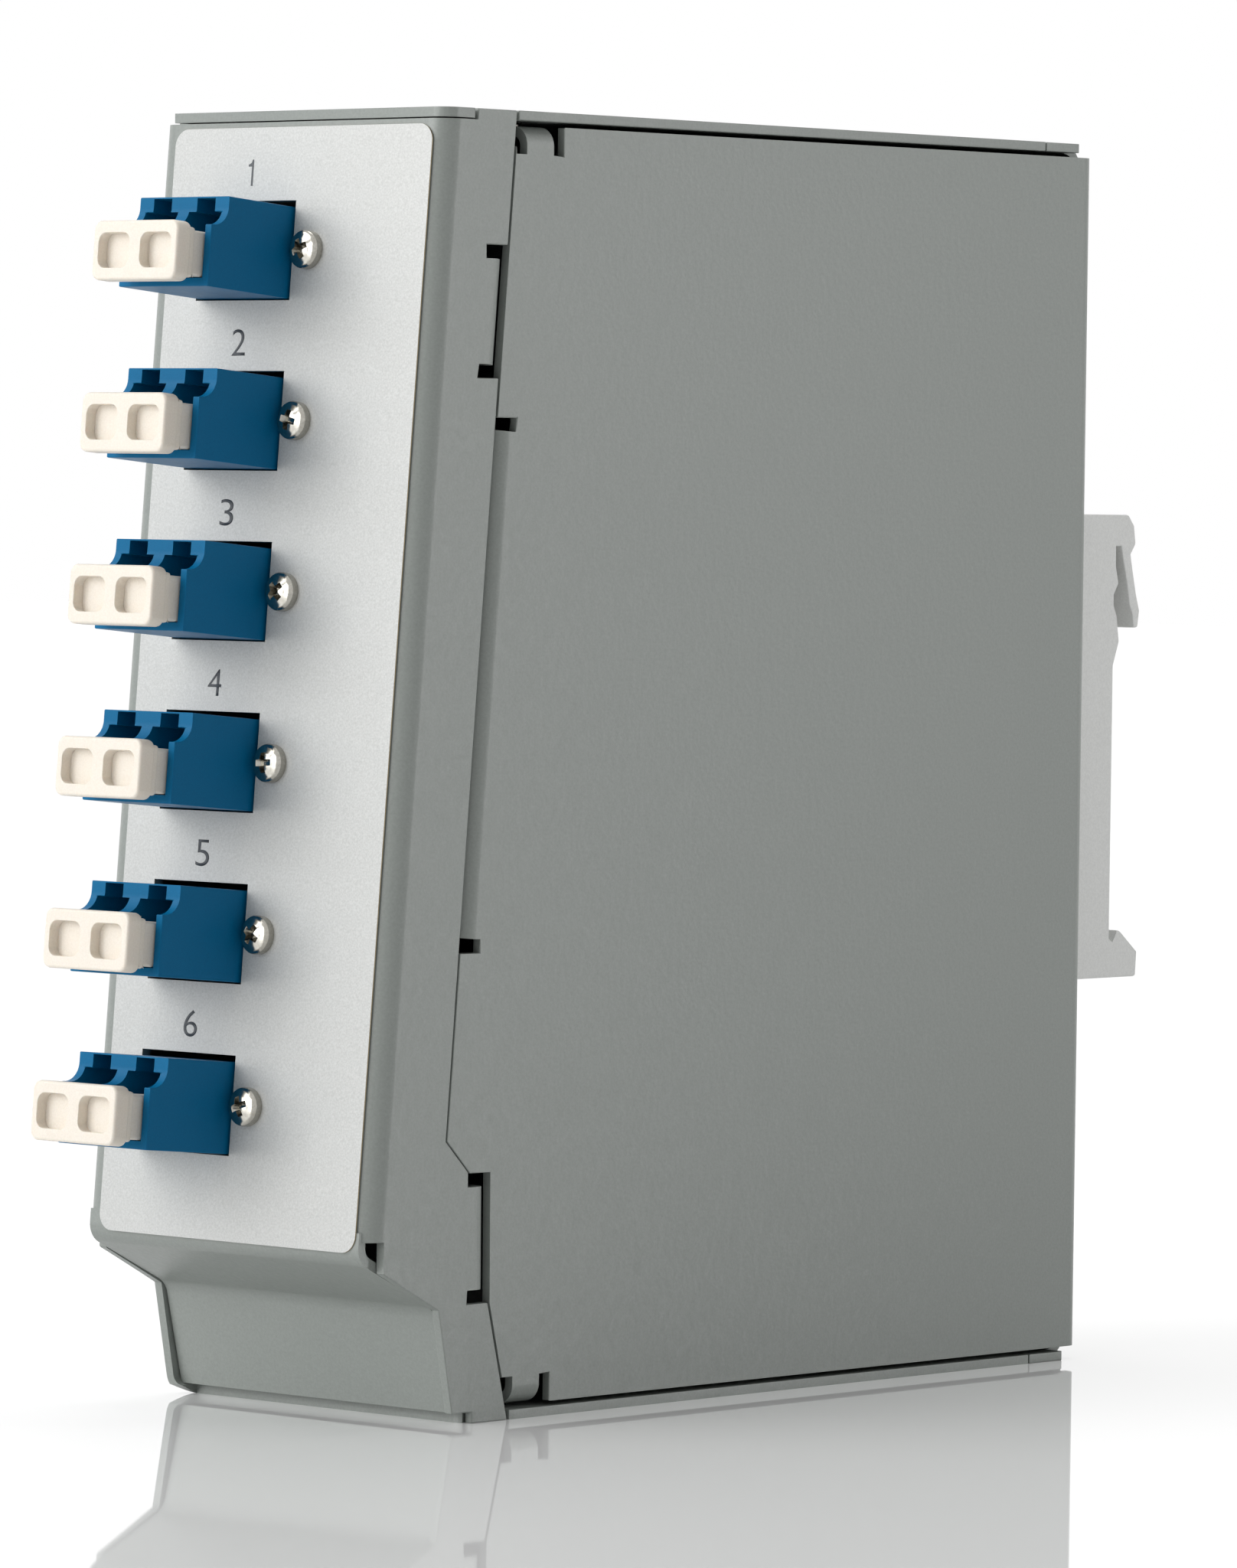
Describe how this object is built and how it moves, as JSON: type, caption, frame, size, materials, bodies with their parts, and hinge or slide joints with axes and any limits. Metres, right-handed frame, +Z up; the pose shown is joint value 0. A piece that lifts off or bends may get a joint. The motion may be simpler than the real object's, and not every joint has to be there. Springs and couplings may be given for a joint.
{
  "type": "din rail fibre box",
  "caption": "Slim folded-metal fibre termination box for a 35 mm rail, with duplex couplers and dust caps on a leaning front and a cable entry below.",
  "frame": {"origin": "middle of the base sheet's underside, half way between the top front edge and the rear wall", "axes": "+X to the right seen from the front, +Y from the front to the rail side, +Z up"},
  "size_m": [0.0408, 0.1399, 0.1334],
  "materials": {
    "housing_coat": "grey powder coat on steel sheet, fine grain",
    "label_foil": "silver polyester label with fine texture",
    "coupler_plastic": "blue moulded plastic",
    "cap_plastic": "ivory moulded plastic",
    "ceramic": "white zirconia ceramic, ground",
    "zinc": "zinc-plated steel",
    "foot_plastic": "light grey moulded plastic",
    "tray_plastic": "black moulded plastic",
    "comb_plastic": "natural white moulded plastic"
  },
  "bodies": {
    "case": {"front_hood": "housing_coat", "rear_shell": "housing_coat", "front_label": "label_foil", "lc_coupler_1": "coupler_plastic", "lc_coupler_2": "coupler_plastic", "lc_coupler_3": "coupler_plastic", "lc_coupler_4": "coupler_plastic", "lc_coupler_5": "coupler_plastic", "lc_coupler_6": "coupler_plastic", "alignment_sleeves": "ceramic", "adapter_screws": "zinc", "adapter_nuts": "zinc", "case_screws": "zinc", "clinch_nuts": "zinc", "rail_foot": "foot_plastic", "foot_screws": "zinc", "splice_tray": "tray_plastic", "splice_comb": "comb_plastic", "tray_lid": "tray_plastic", "tray_studs": "zinc", "tray_nuts": "zinc"},
    "cap_1": {"dust_cap_1": "cap_plastic"},
    "cap_2": {"dust_cap_2": "cap_plastic"},
    "cap_3": {"dust_cap_3": "cap_plastic"},
    "cap_4": {"dust_cap_4": "cap_plastic"},
    "cap_5": {"dust_cap_5": "cap_plastic"},
    "cap_6": {"dust_cap_6": "cap_plastic"}
  },
  "joints": [
    {"name": "cap_1_pull", "type": "slide", "parent": "case", "child": "cap_1", "axis": [0, -0.9964, 0.0845], "range_m": [0, 0.012]},
    {"name": "cap_2_pull", "type": "slide", "parent": "case", "child": "cap_2", "axis": [0, -0.9964, 0.0845], "range_m": [0, 0.012]},
    {"name": "cap_3_pull", "type": "slide", "parent": "case", "child": "cap_3", "axis": [0, -0.9964, 0.0845], "range_m": [0, 0.012]},
    {"name": "cap_4_pull", "type": "slide", "parent": "case", "child": "cap_4", "axis": [0, -0.9964, 0.0845], "range_m": [0, 0.012]},
    {"name": "cap_5_pull", "type": "slide", "parent": "case", "child": "cap_5", "axis": [0, -0.9964, 0.0845], "range_m": [0, 0.012]},
    {"name": "cap_6_pull", "type": "slide", "parent": "case", "child": "cap_6", "axis": [0, -0.9964, 0.0845], "range_m": [0, 0.012]}
  ]
}
